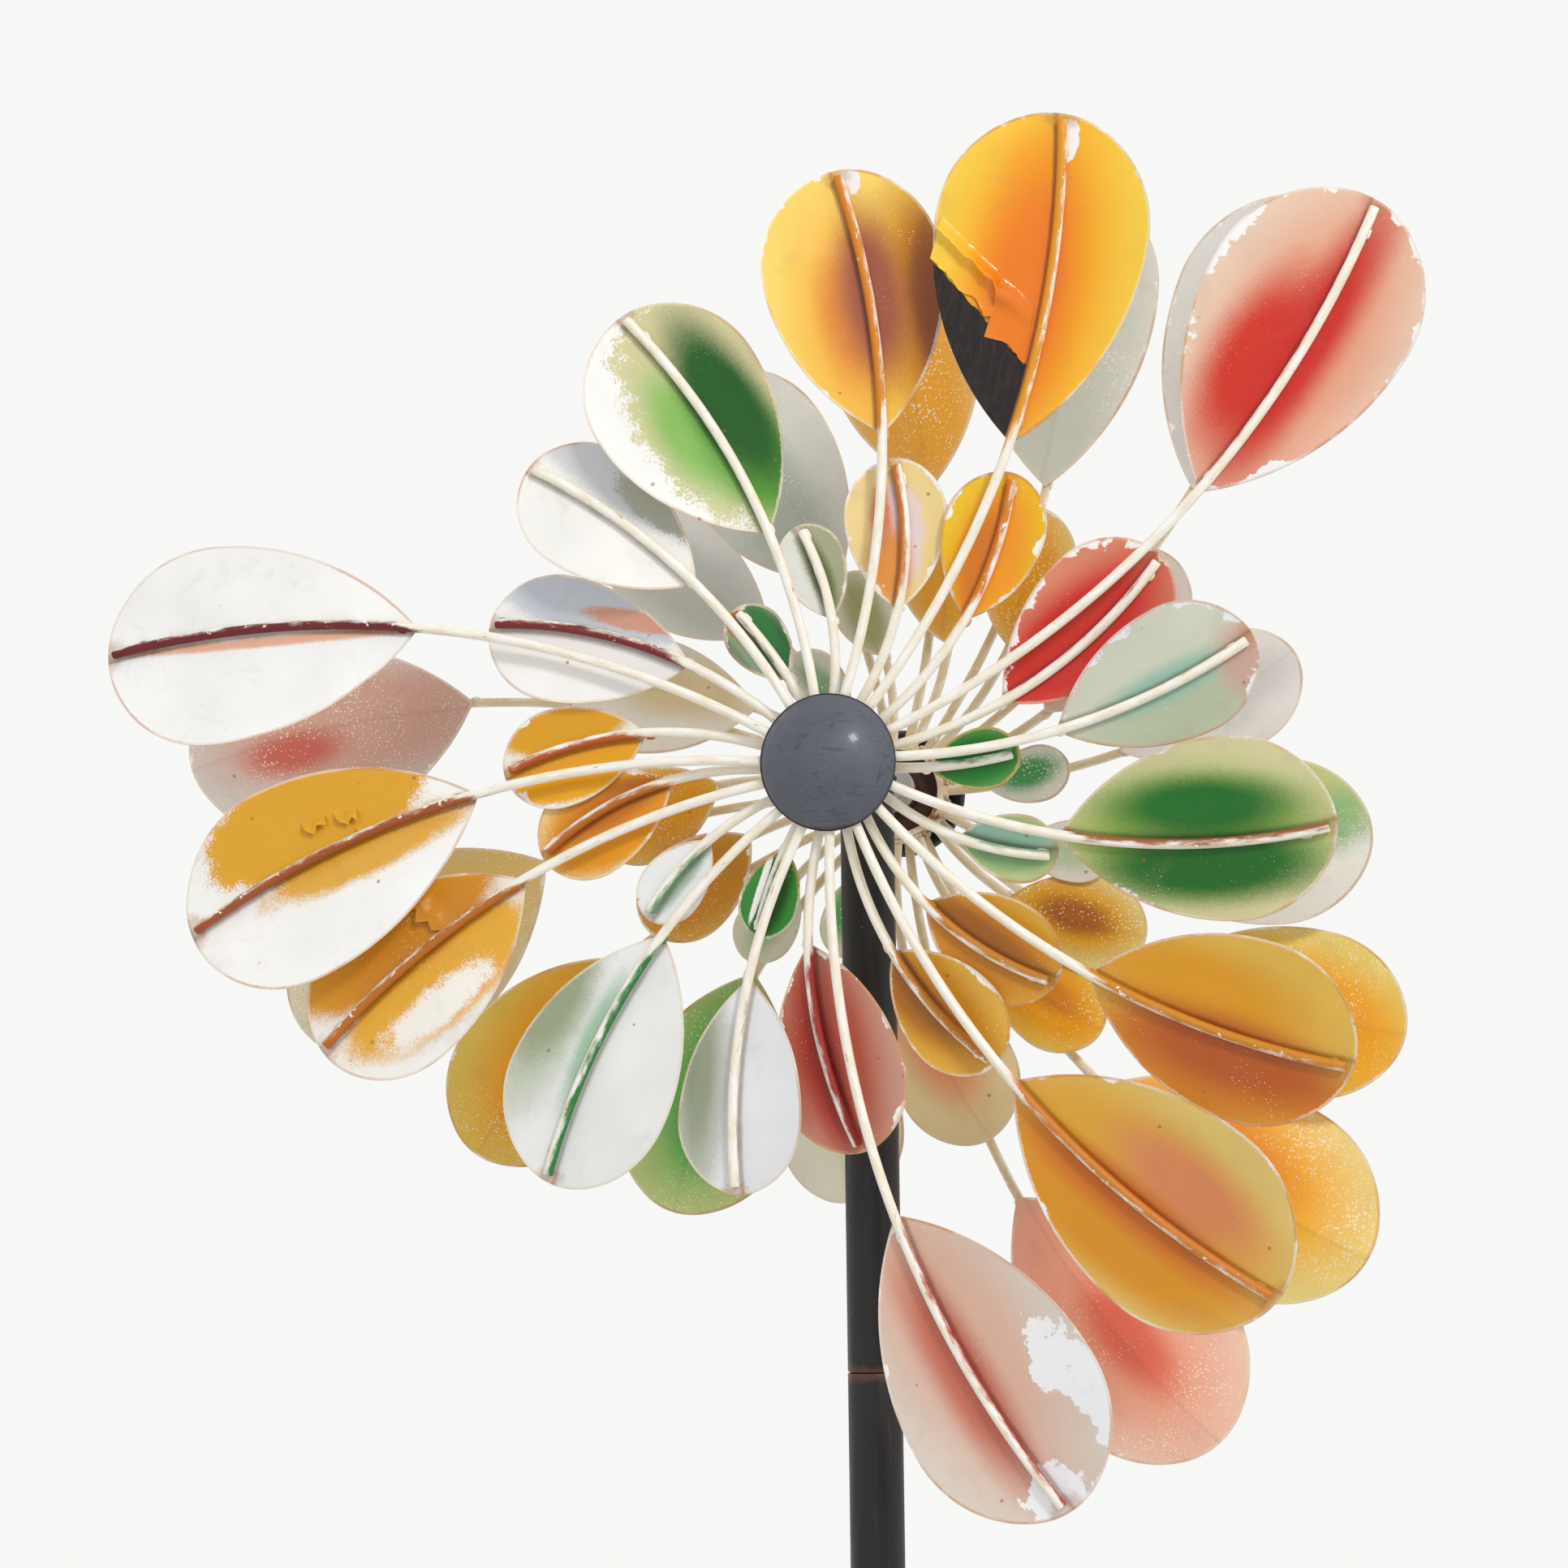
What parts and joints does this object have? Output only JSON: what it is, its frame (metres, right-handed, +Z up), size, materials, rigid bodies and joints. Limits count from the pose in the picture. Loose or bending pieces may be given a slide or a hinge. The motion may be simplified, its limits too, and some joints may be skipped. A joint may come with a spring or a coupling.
{
  "type": "kinetic wind sculpture",
  "caption": "Garden wind sculpture: counter-turning rotors of painted sheet-metal petals on bent wire stems, on one axle atop a sectional pole with a pronged ground stake.",
  "frame": {"origin": "on the pole's centre line at ground level, where the buried middle spike starts", "axes": "+Z up along the pole, -Y towards the front rotor, the rotor axle along Y, +X to the right seen from the front"},
  "size_m": [0.5517, 0.1886, 1.8825],
  "materials": {
    "pole_black": "black powder coat, scuffed, with rust at the joints",
    "housing_grey": "light grey paint",
    "zinc_steel": "zinc-plated steel",
    "bronze": "oiled sintered bronze",
    "hub_cream": "cream paint over steel, rust at the welds",
    "dome_slate": "matt slate-grey paint, scuffed",
    "stem_cream": "chipped cream-white paint with rust spots",
    "petal_white": "weathered white and pale green sprayed paint",
    "petal_green": "green paint sprayed over white, worn to white at the edge",
    "petal_gold": "golden-yellow sprayed paint with brown shading",
    "petal_orange": "yellow to orange sprayed paint, worn and flaking",
    "petal_red": "red to pink sprayed paint, chipped to white"
  },
  "bodies": {
    "stand": {"ground_stake": "pole_black", "step_bar": "pole_black", "lower_pole": "pole_black", "upper_pole": "pole_black", "head_post": "pole_black", "axle_housing": "housing_grey", "axle": "zinc_steel", "washers": "zinc_steel", "lock_nuts": "zinc_steel"},
    "front_rotor": {"front_dome": "dome_slate", "front_hub": "hub_cream", "front_bushes": "bronze", "front_stems_a": "stem_cream", "front_outer_petal_a1": "petal_white", "front_outer_petal_a2": "petal_green", "front_outer_petal_a3": "petal_gold", "front_outer_petal_a4": "petal_orange", "front_outer_petal_a5": "petal_red", "front_stems_b": "stem_cream", "front_outer_petal_b1": "petal_white", "front_outer_petal_b2": "petal_green", "front_outer_petal_b3": "petal_gold", "front_outer_petal_b4": "petal_orange", "front_outer_petal_b5": "petal_red", "front_stems_c": "stem_cream", "front_outer_petal_c1": "petal_white", "front_outer_petal_c2": "petal_green", "front_outer_petal_c3": "petal_gold", "front_outer_petal_c4": "petal_orange", "front_outer_petal_c5": "petal_red", "front_inner_petals_green": "petal_green", "front_inner_petals_pale": "petal_white", "front_inner_petals_amber": "petal_orange", "front_inner_petals_red": "petal_red"},
    "rear_rotor": {"rear_dome": "dome_slate", "rear_hub": "hub_cream", "rear_bushes": "bronze", "rear_stems_a": "stem_cream", "rear_outer_petal_a1": "petal_white", "rear_outer_petal_a2": "petal_green", "rear_outer_petal_a3": "petal_gold", "rear_outer_petal_a4": "petal_orange", "rear_outer_petal_a5": "petal_red", "rear_stems_b": "stem_cream", "rear_outer_petal_b1": "petal_white", "rear_outer_petal_b2": "petal_green", "rear_outer_petal_b3": "petal_gold", "rear_outer_petal_b4": "petal_orange", "rear_outer_petal_b5": "petal_red", "rear_stems_c": "stem_cream", "rear_outer_petal_c1": "petal_white", "rear_outer_petal_c2": "petal_green", "rear_outer_petal_c3": "petal_gold", "rear_outer_petal_c4": "petal_orange", "rear_outer_petal_c5": "petal_red", "rear_inner_petals_green": "petal_green", "rear_inner_petals_pale": "petal_white", "rear_inner_petals_amber": "petal_orange", "rear_inner_petals_red": "petal_red"}
  },
  "joints": [
    {"name": "front_spin", "type": "hinge", "parent": "stand", "child": "front_rotor", "pos_m": [0, -0.0745, 1.4], "axis": [0, -1, 0], "continuous": true},
    {"name": "rear_spin", "type": "hinge", "parent": "stand", "child": "rear_rotor", "pos_m": [0, 0.0745, 1.4], "axis": [0, -1, 0], "continuous": true}
  ]
}
